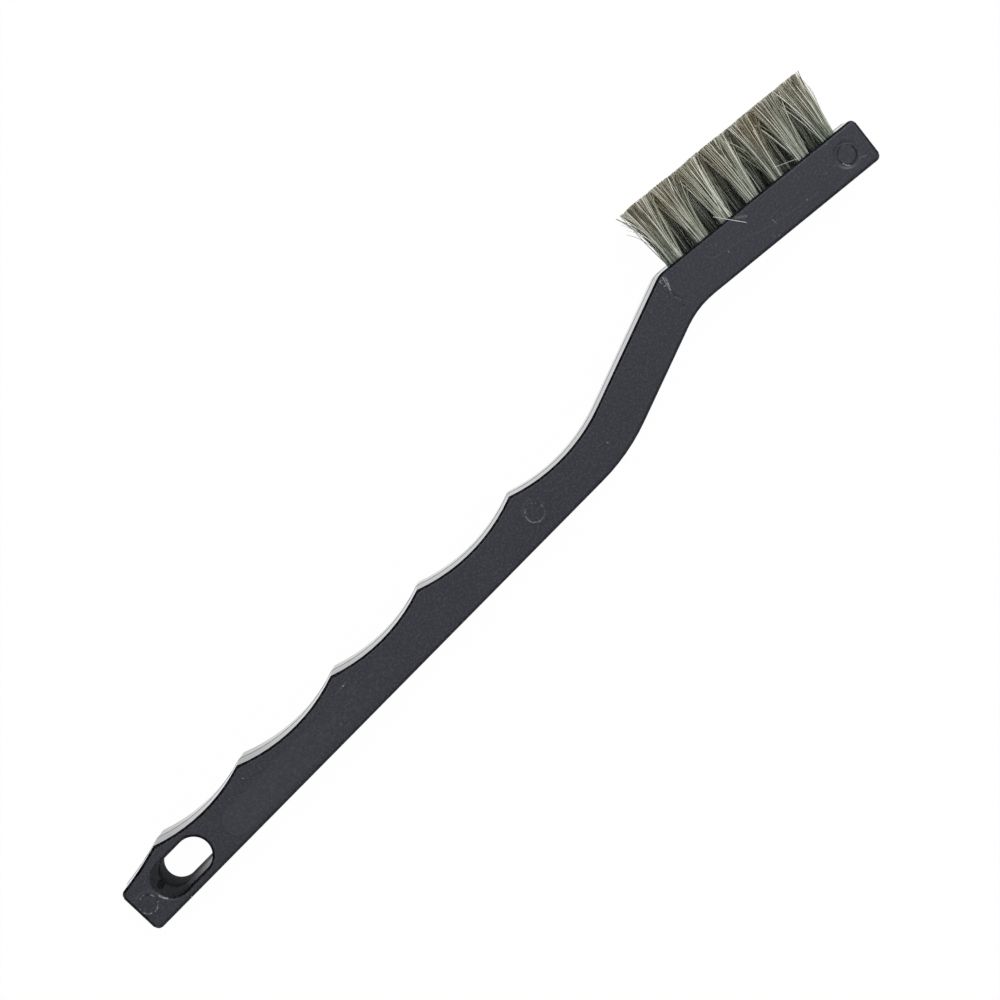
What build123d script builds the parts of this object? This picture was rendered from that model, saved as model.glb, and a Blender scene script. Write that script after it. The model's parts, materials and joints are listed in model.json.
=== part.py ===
"""Crevice brush: a cranked plastic handle with three rows of hair tufts held by flat-wire anchors.

The brush lies on its flat side. X runs along the straight back of the handle toward the head, Y is the
side that the hair points to, and Z is the width of the bar. The origin is the centre of the hanging slot
on the face that the brush rests on. Lengths are millimetres and angles are degrees.
"""

import os
from math import cos, radians, sin, sqrt

from build123d import *

# Bar: one moulded bar, as wide in the handle as in the head
bar_width = 11.1
draft_angle = 1.4
face_bevel = 0.6

# Hanging slot: two core pins meet at the parting plane, the lower one smaller and with less taper
slot_length = 12.4
slot_width = 6.65
slot_middle_length = 11.4
slot_middle_width = 6.06
lower_slot_length = 10.95
lower_slot_width = 6.2
lower_slot_middle_length = 10.8
lower_slot_middle_width = 6.0
slot_bevel = 0.6
slot_from_end = 11.2
slot_from_back = 4.97

# Grip: ridges between finger scallops that all have one radius
grip_length = 97.25
grip_depth = 11.12
end_depth = 9.17
end_sweep_radius = 57.0
scallop_radius = 31.75
ridge_place_shares = (0.1065, 0.3155, 0.549, 0.767, 1.0)
ridge_depth_shares = (1.0, 0.955, 0.891, 0.874, 0.872)
ridge_rounding = 0.65
end_rounding = 1.05

# Neck: rises from the back line to the throat, where the head begins
neck_from_end = 116.9
neck_length = 27.95
neck_depth = 8.42
neck_angle = 19.7
neck_back_radius = 36.0

# Head: drops from the throat, seen along the handle
head_length = 40.3
head_depth = 8.47
head_drop = 6.55
head_taper = 0.25
heel_radius = 4.0
throat_radius = 16.0
head_rounding = 0.95

# Marks of the mould in the upper face: three ejector pins and a blank panel
mark_depth = 0.12
pin_radius = 1.56
end_pin_from_end = 2.3
grip_pin_from_end = 98.45
pin_from_back = 4.57
head_pin_from_end = 4.5
panel_length = 43.0
panel_width = 5.4
panel_from_end = 21.1
panel_from_back = 1.12

# Tuft holes: rows across the head, the middle one staggered by half a pitch between the outer two
row_names = ("lower", "middle", "upper")
row_counts = (7, 6, 7)
row_pitch = 3.4
column_pitch = 5.51
first_column_from_heel = 4.3
hole_radius = 1.4
hole_depth = 5.4

# Anchors: flat wire, wider than the hole, so that both of its ends bite into the wall
anchor_thickness = 0.35
anchor_height = 1.7
anchor_bite = 0.35
anchor_clearance = 0.03
anchor_chamfer = 0.2

# Tufts: a root folded round the anchor, and strands that flare to fill the tuft's cell at the tips
root_clearance = 0.07
root_recess = 0.5
root_bevel = 0.5
root_sides = 12
fold_thickness = 0.55
trim_height = 12.05
strand_width = 0.32
strand_tip_width = 0.28
strand_seat = 0.15
ring_pitch = 0.51
ring_counts = (1, 7, 15)
cell_gap = 0.3

# How far a cut runs past the surface that it opens
overrun = 1.0


def polar(length: float, angle: float) -> Vector:
    """Gives the offset of a length at an angle from the X axis, in the side view."""
    return Vector(length * cos(radians(angle)), length * sin(radians(angle)))


# Places in the side view
end_x = -slot_from_end
back_y = -slot_from_back
middle_z = bar_width / 2
back_end = Vector(end_x, back_y)
front_end = back_end + Vector(0, end_depth)
neck_start = back_end + Vector(neck_from_end, 0)
neck_normal = polar(1, neck_angle + 90)
throat = neck_start + polar(neck_length, neck_angle)
head_normal = polar(1, 90 - head_drop)
head_back = throat + polar(head_length, head_taper - head_drop)
head_front = throat + polar(head_length, -head_drop) + head_normal * head_depth

# The heel is where the fronts of the neck and of the head meet
crank = radians(neck_angle + head_drop)
heel_shift = (head_depth * cos(crank) - neck_depth) / sin(crank)
heel = throat + head_normal * head_depth + polar(heel_shift, -head_drop)

ridges = []
for place_share, depth_share in zip(ridge_place_shares, ridge_depth_shares):
    ridges.append(back_end + Vector(place_share * grip_length, depth_share * grip_depth))

# The last scallop runs from its ridge into the front of the neck, with no corner there
ridge_from_neck = ridges[-1] - neck_start
centre_above_ridge = neck_depth + scallop_radius - ridge_from_neck.dot(neck_normal)
scallop_run = sqrt(scallop_radius**2 - centre_above_ridge**2)
scallop_end_along = ridge_from_neck.dot(polar(1, neck_angle)) + scallop_run
scallop_end = neck_start + neck_normal * neck_depth + polar(scallop_end_along, neck_angle)

# Plane of the head's front face, with its origin in the middle of the block of tufts
block_from_heel = first_column_from_heel + column_pitch * (max(row_counts) - 1) / 2
block_middle = heel + polar(block_from_heel, -head_drop)
head_face = Plane(
    origin=(block_middle.X, block_middle.Y, middle_z),
    x_dir=polar(1, -head_drop),
    z_dir=head_normal,
)

# Places of the tufts in that plane, by row and number
tuft_places = {}
for row, (row_name, row_count) in enumerate(zip(row_names, row_counts)):
    across = row_pitch * ((len(row_names) - 1) / 2 - row)
    for number in range(row_count):
        along = column_pitch * (number - (row_count - 1) / 2)
        tuft_places[f"{row_name}_{number + 1}"] = (along, across, 0)

# Heights of the anchor and of the root in a hole, from the head's front face
anchor_bottom = fold_thickness + root_clearance - hole_depth
anchor_top = anchor_bottom + anchor_height
anchor_length = 2 * (hole_radius + anchor_bite)
cut_thickness = anchor_thickness + 2 * anchor_clearance
cut_length = anchor_length + 2 * anchor_clearance

# One tuft hole, as a core pin leaves it, and the cuts that the anchor's ends make on their way down
with BuildPart() as hole_tool:
    with BuildSketch(Plane.XY.offset(overrun)):
        Circle(hole_radius)
    extrude(amount=-hole_depth - overrun)
    with BuildSketch(Plane.XY.offset(overrun)):
        Rectangle(cut_length, cut_thickness)
    extrude(amount=anchor_bottom - anchor_clearance - overrun)

# Handle: half of the bar from the parting plane up, drafted below its face and bevelled, then mirrored
with BuildPart() as handle:
    with BuildSketch(Plane.XY.offset(middle_z)) as outline:
        with BuildLine():
            Line(back_end, front_end)
            RadiusArc(front_end, ridges[0], -end_sweep_radius)
            for ridge, next_ridge in zip(ridges, ridges[1:]):
                RadiusArc(ridge, next_ridge, -scallop_radius)
            RadiusArc(ridges[-1], scallop_end, -scallop_radius)
            Polyline(scallop_end, heel, head_front, head_back, throat, neck_start, back_end)
        make_face()
        corners = [(ridge, ridge_rounding) for ridge in ridges]
        corners += [(back_end, end_rounding), (front_end, end_rounding)]
        corners += [(head_back, head_rounding), (head_front, head_rounding)]
        corners += [(neck_start, neck_back_radius), (throat, throat_radius), (heel, heel_radius)]
        for corner, rounding in corners:
            nearest = outline.vertices().sort_by_distance(corner + Vector(0, 0, middle_z))[:1]
            fillet(nearest, rounding)
    extrude(amount=middle_z)
    walls = handle.faces().group_by(Axis.Z)[1]
    draft(walls, Plane.XY.offset(bar_width), draft_angle)
    chamfer(handle.faces().sort_by(Axis.Z)[-1].edges(), face_bevel)
    mirror(about=Plane.XY.offset(middle_z))

    with BuildSketch(Plane.XY.offset(middle_z)):
        SlotOverall(slot_middle_length, slot_middle_width)
    with BuildSketch(Plane.XY.offset(bar_width)):
        SlotOverall(slot_length, slot_width)
    loft(ruled=True, mode=Mode.SUBTRACT)
    with BuildSketch(Plane.XY.offset(middle_z)):
        SlotOverall(lower_slot_middle_length, lower_slot_middle_width)
    with BuildSketch(Plane.XY):
        SlotOverall(lower_slot_length, lower_slot_width)
    loft(ruled=True, mode=Mode.SUBTRACT)
    broad_faces = [handle.faces().sort_by(Axis.Z)[0], handle.faces().sort_by(Axis.Z)[-1]]
    rims = [face.inner_wires().edges() for face in broad_faces]
    chamfer([*rims[0], *rims[1]], slot_bevel)

    with BuildSketch(Plane.XY.offset(bar_width)):
        with Locations(
            back_end + Vector(end_pin_from_end, pin_from_back),
            back_end + Vector(grip_pin_from_end, pin_from_back),
            throat + head_normal * head_depth / 2 + polar(head_length - head_pin_from_end, -head_drop),
        ):
            Circle(pin_radius)
        with Locations(
            back_end + Vector(panel_from_end + panel_length / 2, panel_from_back + panel_width / 2)
        ):
            SlotOverall(panel_length, panel_width)
    extrude(amount=-mark_depth, mode=Mode.SUBTRACT)

    with Locations(head_face):
        with Locations(*tuft_places.values()):
            add(hole_tool.part, mode=Mode.SUBTRACT)

# Anchor: a piece of flat wire on edge, with the lower corners of both ends sheared off
with BuildPart() as anchor:
    with BuildSketch(Plane.XZ):
        with Locations((0, anchor_bottom + anchor_height / 2)):
            anchor_side = Rectangle(anchor_length, anchor_height)
        chamfer(anchor_side.vertices().group_by(Axis.Z)[0], anchor_chamfer)
    extrude(amount=anchor_thickness / 2, both=True)

# Strands: rings about the tuft's axis, each ring flared in proportion to fill the cell at the tips
ring_reach = ring_pitch * (len(ring_counts) - 1)
tip_reach_along = (column_pitch - strand_tip_width - cell_gap) / 2
tip_reach_across = (row_pitch - strand_tip_width - cell_gap) / 2
strands = []
for ring, count in enumerate(ring_counts):
    for turn in range(count):
        angle = 360 * (turn + 0.5) / count
        root_place = polar(ring_pitch * ring, angle)
        spread = root_place / ring_reach
        tip_place = Vector(spread.X * tip_reach_along, spread.Y * tip_reach_across)
        with BuildPart() as strand:
            with BuildSketch(Plane.XY.offset(-root_recess - strand_seat)):
                with Locations(Location(root_place, (0, 0, angle))):
                    Rectangle(strand_width, strand_width)
            with BuildSketch(Plane.XY.offset(trim_height)):
                with Locations(Location(tip_place, (0, 0, angle))):
                    Rectangle(strand_tip_width, strand_tip_width)
            loft(ruled=True)
        strands.append(strand.part)

# Tuft: the root fills its hole and is folded round the anchor, and carries the strands
with BuildPart() as tuft:
    with BuildSketch(Plane.XY.offset(root_clearance - hole_depth)):
        RegularPolygon(hole_radius - root_clearance, root_sides)
    extrude(amount=hole_depth - root_clearance - root_recess)
    chamfer(tuft.faces().sort_by(Axis.Z)[0].edges(), root_bevel)
    with BuildSketch(Plane.XZ):
        with Locations((0, anchor_bottom + anchor_height / 2)):
            Rectangle(cut_length, anchor_height + 2 * anchor_clearance)
    extrude(amount=cut_thickness / 2, both=True, mode=Mode.SUBTRACT)
    add(strands)

os.makedirs("parts", exist_ok=True)
handle.part.label = "handle"
export_step(handle.part, "parts/handle.step")

# One tuft and one anchor in every hole, row by row from the face that the brush rests on
for tuft_name, tuft_place in tuft_places.items():
    place = head_face.location * Location(tuft_place)
    for kind, piece in (("tuft", tuft), ("anchor", anchor)):
        copy = piece.part.moved(place)
        copy.label = f"{kind}_{tuft_name}"
        export_step(copy, f"parts/{copy.label}.step")

brush_length = handle.part.bounding_box().size.X
strand_count = sum(ring_counts) * len(tuft_places)
print(f"handle {brush_length:.2f} mm long, {strand_count} strands")
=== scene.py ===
"""Crevice brush: the looks of a black moulded scratch brush with natural-hair tufts.

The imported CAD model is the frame, in metres. X runs along the handle toward the head, Y is the side that the
hair points to and Z is the width of the bar. The bar keeps its solid's shape and gets rounded edges and a
moulded finish, each CAD tuft gives way to a fuller bundle of hair, and the anchors get a drawn-wire finish.
"""

import json
import logging
import math
from dataclasses import dataclass, field
from enum import Enum

import bmesh
import bpy
import numpy as np
from mathutils import Matrix, Vector

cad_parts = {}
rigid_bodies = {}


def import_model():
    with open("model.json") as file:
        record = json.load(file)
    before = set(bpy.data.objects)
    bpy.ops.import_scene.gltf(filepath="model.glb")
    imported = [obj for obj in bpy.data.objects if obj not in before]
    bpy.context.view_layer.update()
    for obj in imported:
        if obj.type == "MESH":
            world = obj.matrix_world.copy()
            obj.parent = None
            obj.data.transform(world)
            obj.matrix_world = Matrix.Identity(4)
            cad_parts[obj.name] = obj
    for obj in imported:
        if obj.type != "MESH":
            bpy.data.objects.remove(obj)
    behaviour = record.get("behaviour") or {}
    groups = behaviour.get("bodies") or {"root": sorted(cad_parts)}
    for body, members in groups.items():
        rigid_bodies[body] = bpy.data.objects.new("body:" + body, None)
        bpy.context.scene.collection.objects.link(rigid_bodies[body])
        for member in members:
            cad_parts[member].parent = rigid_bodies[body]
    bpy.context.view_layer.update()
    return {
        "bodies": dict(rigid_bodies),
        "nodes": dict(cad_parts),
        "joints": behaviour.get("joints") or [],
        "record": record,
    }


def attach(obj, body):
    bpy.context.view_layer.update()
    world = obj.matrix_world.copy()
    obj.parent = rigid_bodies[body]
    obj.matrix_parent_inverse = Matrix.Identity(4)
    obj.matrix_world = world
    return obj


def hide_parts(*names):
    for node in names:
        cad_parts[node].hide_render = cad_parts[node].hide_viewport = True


log = logging.getLogger("crevice_brush")

MM = 0.001
BAR_WIDTH = 11.1
BAR_MIDDLE = BAR_WIDTH / 2
TINY = 1e-12
BODY = "root"

Point = tuple[float, float]
Place = tuple[float, float, float]
Colour = tuple[float, float, float]
# Blotches in a millimetre, how many finer layers there are, and how strong they are.
Noise = tuple[float, float, float]
# A noise, then its value where patches start and its value where they are full.
Patches = tuple[float, float, float, float, float]


class Row(Enum):
    """A row of tufts, by its height over the face that the brush rests on."""

    LOWER = "lower"
    MIDDLE = "middle"
    UPPER = "upper"


class RayKind(Enum):
    """A kind of light ray that sees the plain white background."""

    CAMERA = "Is Camera Ray"
    GLOSSY = "Is Glossy Ray"
    TRANSMISSION = "Is Transmission Ray"


class Signal:
    """A shader socket that takes part in sums, so that an expression adds its own Math nodes."""

    def __init__(self, graph: "Graph", socket: bpy.types.NodeSocket) -> None:
        """Wraps an output socket of a node in a graph."""
        self.graph = graph
        self.socket = socket

    def _math(self, operation: str, *operands: object) -> "Signal":
        """Adds one Math node over the operands, which are signals or plain numbers."""
        node = self.graph.node("ShaderNodeMath", {"operation": operation}, dict(enumerate(operands)))
        return Signal(self.graph, node.outputs[0])

    def __add__(self, other: object) -> "Signal":
        """Gives the sum of this signal and another."""
        return self._math("ADD", self, other)

    def __radd__(self, other: object) -> "Signal":
        """Gives the sum of a number and this signal."""
        return self._math("ADD", other, self)

    def __sub__(self, other: object) -> "Signal":
        """Gives this signal less another."""
        return self._math("SUBTRACT", self, other)

    def __rsub__(self, other: object) -> "Signal":
        """Gives a number less this signal."""
        return self._math("SUBTRACT", other, self)

    def __mul__(self, other: object) -> "Signal":
        """Gives the product of this signal and another."""
        return self._math("MULTIPLY", self, other)

    def __rmul__(self, other: object) -> "Signal":
        """Gives the product of a number and this signal."""
        return self._math("MULTIPLY", other, self)

    def __truediv__(self, other: object) -> "Signal":
        """Gives this signal divided by another."""
        return self._math("DIVIDE", self, other)

    def __abs__(self) -> "Signal":
        """Gives the size of this signal without its sign."""
        return self._math("ABSOLUTE", self)

    def sqrt(self) -> "Signal":
        """Gives the square root of this signal."""
        return self._math("SQRT", self)

    def least(self, other: object) -> "Signal":
        """Gives the smaller of this signal and another."""
        return self._math("MINIMUM", self, other)

    def most(self, other: object) -> "Signal":
        """Gives the larger of this signal and another."""
        return self._math("MAXIMUM", self, other)

    def ramp(self, low: float, high: float, start: float = 0.0, end: float = 1.0) -> "Signal":
        """Maps low to start and high to end with a smooth step, and holds the ends outside.

        Args:
            low: The signal's value that gives start.
            high: The signal's value that gives end.
            start: The result at low.
            end: The result at high.

        Returns:
            The eased signal.
        """
        settings = {"interpolation_type": "SMOOTHSTEP"}
        values = {0: self, 1: low, 2: high, 3: start, 4: end}
        node = self.graph.node("ShaderNodeMapRange", settings, values)
        return Signal(self.graph, node.outputs[0])

    def fade(self, low: float, high: float) -> "Signal":
        """Gives 1 up to low and 0 from high on, with a smooth step between them."""
        return self.ramp(low, high, 1.0, 0.0)


def length(first: Signal, second: Signal) -> Signal:
    """Gives the length of two offsets at right angles: the root of the sum of their squares."""
    return (first * first + second * second).sqrt()


class Graph:
    """A node tree under construction, of a material or of the world."""

    def __init__(self, tree: bpy.types.NodeTree) -> None:
        """Empties a node tree and keeps it."""
        self.tree = tree
        self.tree.nodes.clear()

    def node(self, kind: str, settings: dict | None = None, values: dict | None = None) -> bpy.types.Node:
        """Adds one node.

        Args:
            kind: The node's type, such as ShaderNodeMath.
            settings: Properties to set first. The name stops holds a ramp's list of (place, colour).
            values: Input socket names or numbers, each with a signal, an output socket or a plain value.

        Returns:
            The new node.
        """
        node = self.tree.nodes.new(kind)
        for name, value in (settings or {}).items():
            if name == "stops":
                self._set_stops(node.color_ramp.elements, value)
            else:
                setattr(node, name, value)
        for name, value in (values or {}).items():
            source = value.socket if isinstance(value, Signal) else value
            if isinstance(source, bpy.types.NodeSocket):
                self.tree.links.new(source, node.inputs[name])
            else:
                node.inputs[name].default_value = source
        return node

    def _set_stops(self, elements: bpy.types.bpy_prop_collection, stops: list) -> None:
        """Gives a colour ramp its stops, using the two that it starts with first."""
        for index, (place, colour) in enumerate(stops):
            element = elements[index] if index < 2 else elements.new(place)
            element.position = place
            element.color = (*colour, 1.0)

    def signal(
        self, kind: str, settings: dict | None = None, values: dict | None = None, out: object = 0
    ) -> Signal:
        """Adds one node and wraps the output that has the given name or number."""
        return Signal(self, self.node(kind, settings, values).outputs[out])

    def place_mm(self) -> tuple[Signal, Signal, Signal, Signal]:
        """Gives the point on the piece in millimetres: the vector, then its x, y and z."""
        place = self.signal("ShaderNodeTexCoord", out="Object")
        scaled = self.signal("ShaderNodeVectorMath", {"operation": "SCALE"}, {0: place, "Scale": 1 / MM})
        parts = self.node("ShaderNodeSeparateXYZ", values={0: scaled})
        return scaled, *(Signal(self, parts.outputs[i]) for i in range(3))

    def noise(self, place: Signal, scale: float, detail: float, roughness: float) -> Signal:
        """Gives a noise from 0 to 1, 0.5 on average, at a point in millimetres."""
        values = {"Vector": place, "Scale": scale, "Detail": detail, "Roughness": roughness}
        return self.signal("ShaderNodeTexNoise", values=values)

    def patches(self, place: Signal, patches: Patches) -> Signal:
        """Gives 0 outside the patches of a noise and 1 in them."""
        *noise, low, high = patches
        return self.noise(place, *noise).ramp(low, high)

    def finish(self, surface: bpy.types.Node, kind: str = "Material") -> None:
        """Joins a surface node to the output of a material, or of the world."""
        self.node("ShaderNodeOutput" + kind, values={"Surface": surface.outputs[0]})

    def mix(self, factor: object, first: object, second: object) -> Signal:
        """Mixes two colours.

        Args:
            factor: 0 gives the first colour and 1 the second.
            first: A colour or a signal.
            second: A colour or a signal.

        Returns:
            The mixed colour.
        """
        first, second = (self._rgba(colour) for colour in (first, second))
        values = {0: factor, 6: first, 7: second}
        return self.signal("ShaderNodeMix", {"data_type": "RGBA"}, values, out=2)

    def _rgba(self, colour: object) -> object:
        """Gives a plain colour its alpha, and leaves a signal as it is."""
        return (*colour, 1.0) if isinstance(colour, tuple) else colour

    def stroke(self, x: Signal, y: Signal, start: Point, end: Point, width: float) -> Signal:
        """Draws a straight stroke with round ends, 1 on its line and 0 from its width outward.

        The distance to a stroke is that to its nearest point: the start plus the end's offset times the
        share of the way that the point projects to, held from 0 to 1.

        Args:
            x: The point's first coordinate, in millimetres.
            y: The point's second coordinate, in millimetres.
            start: Where the stroke starts.
            end: Where the stroke ends.
            width: Half the width of the stroke at which it has faded out.

        Returns:
            The stroke's mask.
        """
        run, rise = end[0] - start[0], end[1] - start[1]
        length_squared = run * run + rise * rise
        from_x, from_y = x - start[0], y - start[1]
        share = ((from_x * run + from_y * rise) / length_squared).most(0.0).least(1.0)
        return length(from_x - share * run, from_y - share * rise).fade(0.0, width)

    def path(self, x: Signal, y: Signal, points: tuple[Point, ...], width: float) -> Signal:
        """Draws strokes from point to point, and gives the strongest of them everywhere."""
        path = 0.0
        for start, end in zip(points, points[1:]):
            path = self.stroke(x, y, start, end, width).most(path)
        return path


def new_material(name: str) -> tuple[bpy.types.Material, Graph]:
    """Makes an empty node material.

    Args:
        name: The material's name.

    Returns:
        The material and its graph.
    """
    material = bpy.data.materials.new(name)
    material.use_nodes = True
    return material, Graph(material.node_tree)


def finish_surface(graph: Graph, values: dict) -> None:
    """Closes a material with a Principled surface, which gets its sockets' values or links."""
    graph.finish(graph.node("ShaderNodeBsdfPrincipled", values=values))


def smooth_step(values: np.ndarray, low: float, high: float) -> np.ndarray:
    """Gives 0 up to low, 1 from high on, and t squared times (3 - 2 t) for the share t of the way."""
    share = np.clip((values - low) / (high - low), 0.0, 1.0)
    return share * share * (3.0 - 2.0 * share)


def face_normals(points: np.ndarray, triangles: np.ndarray) -> np.ndarray:
    """Gives each triangle's normal, twice its area long: the cross product of two of its sides."""
    corners = points[triangles]
    return np.cross(corners[:, 1] - corners[:, 0], corners[:, 2] - corners[:, 0])


def quad_faces(grid: np.ndarray, closed: bool = False) -> np.ndarray:
    """Joins neighbours in a grid of point numbers into quads.

    Each quad takes two neighbours of a line and, the other way round, the same two of the next line.

    Args:
        grid: The points' numbers. Its last two axes are the lines and the places on them.
        closed: Whether a line's last point joins its first.

    Returns:
        The quads, with four numbers each.
    """
    here = grid if closed else grid[..., :-1]
    following = np.roll(grid, -1, axis=-1) if closed else grid[..., 1:]
    corners = (here[..., :-1, :], following[..., :-1, :], following[..., 1:, :], here[..., 1:, :])
    return np.stack(corners, axis=-1).reshape(-1, 4)


def new_object(name: str, mesh: bpy.types.Mesh) -> bpy.types.Object:
    """Puts a mesh into the scene.

    Args:
        name: The object's name.
        mesh: Its mesh, already in its place.

    Returns:
        The object, at the origin and unturned.
    """
    thing = bpy.data.objects.new(name, mesh)
    bpy.context.scene.collection.objects.link(thing)
    return thing


@dataclass(frozen=True)
class HeadPlan:
    """The head's own directions and the places of its tufts, as the solids have them, in millimetres."""

    drop: float = 6.55
    block_middle: Point = (151.8246, 10.7028)
    counts: tuple[int, ...] = (7, 6, 7)
    column_pitch: float = 5.51
    row_pitch: float = 3.4
    hole_radius: float = 1.4
    trim: float = 12.05

    @property
    def along(self) -> np.ndarray:
        """The direction along the head, away from the handle."""
        turn = math.radians(self.drop)
        return np.array([math.cos(turn), -math.sin(turn), 0.0])

    @property
    def up(self) -> np.ndarray:
        """The direction that the hair points in."""
        turn = math.radians(self.drop)
        return np.array([math.sin(turn), math.cos(turn), 0.0])

    def count(self, row: Row) -> int:
        """Gives how many tufts a row has."""
        return self.counts[list(Row).index(row)]

    def mouth(self, row: Row, column: int) -> np.ndarray:
        """Gives the centre of a tuft's hole on the head's front face.

        Args:
            row: The row of the tuft.
            column: Its column, from 0 at the heel.

        Returns:
            The point in millimetres.
        """
        across = BAR_MIDDLE + self.row_pitch * (list(Row).index(row) - 1)
        middle = np.array([*self.block_middle, across])
        return middle + self.along * self.column_pitch * (column - (self.count(row) - 1) / 2)


@dataclass(frozen=True)
class MouldedPlastic:
    """Black moulded plastic with a satin skin, mould marks, light scuff marks and dust, a head painted lighter
    as a painted sheen, and painted glints on the slot's rim and the head pin's rim.

    Lengths and places are in millimetres. An edge, a slope or a reach is a pair: where a change starts and
    where it is full. A scuff, or a painted glint, is its two ends, its half width and its strength. A pin is
    its centre, half the height of its step and the strength of the torn flash on it. In the slot the roughness
    changes along x less y, and a little at the height where its two core pins met.
    """

    body_colour: Colour = (0.0006, 0.0005, 0.0018)
    cloud_colour: Colour = (0.0026, 0.0025, 0.0042)
    head_sheen_colour: Colour = (0.0040, 0.0038, 0.0060)
    panel_colour: Colour = (0.0130, 0.0130, 0.0160)
    speck_colour: Colour = (0.0370, 0.0365, 0.0410)
    scuff_colour: Colour = (0.34, 0.34, 0.36)
    dust_colour: Colour = (0.50, 0.50, 0.52)
    seam_colour: Colour = (0.003, 0.003, 0.004)
    sheen_tint: Colour = (0.80, 0.86, 1.0)
    clouds: Noise = (0.11, 3.0, 0.55)
    mottle: Noise = (0.9, 4.0, 0.6)
    grain: Noise = (5.0, 3.0, 0.65)
    speckle: Patches = (2.6, 3.0, 0.7, 0.42, 0.76)
    seam_breaks: Patches = (1.3, 3.0, 0.7, 0.42, 0.56)
    wear: Patches = (4.5, 2.0, 0.6, 0.36, 0.6)
    tears: Patches = (1.5, 4.0, 0.7, 0.46, 0.58)
    cloud_edges: Point = (0.35, 0.7)
    cloud_shine: Point = (0.3, 0.7)
    upper_slopes: Point = (0.85, 0.98)
    scuff_slopes: Point = (0.5, 0.65)
    wall_slopes: Point = (0.3, 0.6)
    roughness: float = 0.27
    mottle_roughness: float = 0.12
    cloud_roughness: float = 0.04
    scuff_roughness: float = 0.3
    dust_roughness: float = 0.3
    panel_roughness: float = 0.02
    parting_roughness: float = 0.2
    flaw_roughness: float = 0.5
    wall_roughness: float = 0.08
    wall_polish: float = 0.25
    refraction: float = 1.5
    grain_height: float = 0.0014
    mottle_height: float = 0.003
    scuff_height: float = 0.01
    flash_height: float = 0.03
    seam_depth: float = 0.05
    flaw_depth: float = 0.8
    slot_half_length: Point = (6.6, 7.2)
    slot_half_width: Point = (3.4, 3.9)
    slot_way: Point = (0.5, 7.5)
    slot_roughness: Point = (0.78, 0.4)
    slot_half_change: tuple[float, ...] = (5.5, 5.6, 0.12, -0.1)
    parting_edge: Point = (0.04, 0.14)
    parting_share: float = 0.7
    panel_span: Point = (12.6, 50.2)
    panel_line: float = -1.15
    panel_half_width: float = 2.7
    panel_edge: float = 0.1
    panel_fade: tuple[float, ...] = (14.0, 46.0, 0.9, 0.3)
    head_line: tuple[Point, Point] = ((133.56, 11.63), (131.16, 9.24))
    head_line_edge: Point = (-0.3, 0.5)
    head_start: Point = (130.2, 131.0)
    pins: tuple[tuple[Point, float, float], ...] = (
        ((-8.86, -0.35), 0.024, 0.65),
        ((87.25, -0.4), 0.022, 0.4),
        ((168.06, 4.58), -0.055, 0.0),
    )
    pin_radius: float = 1.7
    pin_step: float = 0.16
    pin_flash: Point = (0.03, 0.19)
    pin_reach: Point = (0.3, 0.9)
    seam_width: float = 0.3
    seam_share: float = 0.9
    seam_mark_width: float = 0.34
    seam_mark_share: float = 0.7
    flow_width: float = 0.28
    flow_share: float = 0.03
    seam: tuple[Point, ...] = ((130.54, 9.7), (130.63, 8.4), (130.94, 7.32), (130.37, 6.24), (130.39, 4.21))
    seam_marks: tuple[tuple[Point, Point], ...] = (
        ((130.63, 8.4), (130.94, 7.32)),
        ((130.48, 5.3), (130.39, 4.0)),
    )
    flow: tuple[Point, ...] = ((139.5, 8.5), (145.0, 7.24), (149.45, 5.63), (154.4, 4.51), (160.1, 3.49))
    slot_flaw: Place = (-5.73, 0.23, 8.0)
    slot_flaw_edge: Point = (0.4, 0.75)
    slot_flaw_squash: float = 0.1
    dust_scale: float = 0.42
    dust_share: Point = (0.80, 0.82)
    dust_radius: Point = (0.03, 0.035)
    dust_edge: Point = (0.6, 1.0)
    dust_strength: Point = (0.2, 0.7)
    scuffs_and_glints: tuple[tuple[Point, Point, float, float], ...] = (
        ((131.26, 12.32), (130.63, 9.78), 0.17, 1.3),
        ((131.49, 11.68), (131.02, 10.42), 0.15, 1.15),
        ((130.28, 12.21), (131.54, 11.9), 0.15, 1.0),
        ((130.37, 11.08), (131.07, 10.64), 0.14, 0.9),
        ((130.3, 12.2), (130.4, 11.74), 0.14, 1.0),
        ((147.2, 10.5), (148.6, 9.5), 0.34, 0.35),
        ((151.37, 5.86), (151.37, 4.89), 0.13, 0.55),
        ((169.29, 2.58), (170.25, 2.08), 0.12, 0.4),
        ((40.55, 2.09), (43.52, 2.32), 0.13, 0.22),
        # painted glint: a bright highlight on the slot's lower rim, drawn in the scuff colour
        ((-6.44, -0.7), (-6.23, -1.43), 0.2, 1.4),
        ((-6.23, -1.43), (-5.79, -2.04), 0.2, 1.4),
        # painted highlight: the bright lower arc of the head pin's rim
        ((166.5, 3.98), (166.72, 3.32), 0.16, 1.2),
        ((166.72, 3.32), (167.1, 2.88), 0.16, 1.2),
        ((142.3, 7.45), (142.28, 7.2), 0.17, 0.6),
        ((141.5, 9.6), (141.55, 9.65), 0.15, 0.7),
        ((163.32, 4.85), (163.4, 4.9), 0.15, 0.6),
        ((165.14, 4.78), (165.2, 4.82), 0.13, 0.5),
        ((157.9, 3.99), (157.98, 4.03), 0.15, 0.6),
        ((166.77, 8.27), (166.85, 8.3), 0.13, 0.6),
        ((150.27, 3.13), (150.35, 3.2), 0.14, 0.5),
        ((149.58, 3.49), (149.7, 3.55), 0.14, 0.5),
        ((37.31, -2.24), (37.6, -2.24), 0.13, 0.4),
    )

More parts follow.
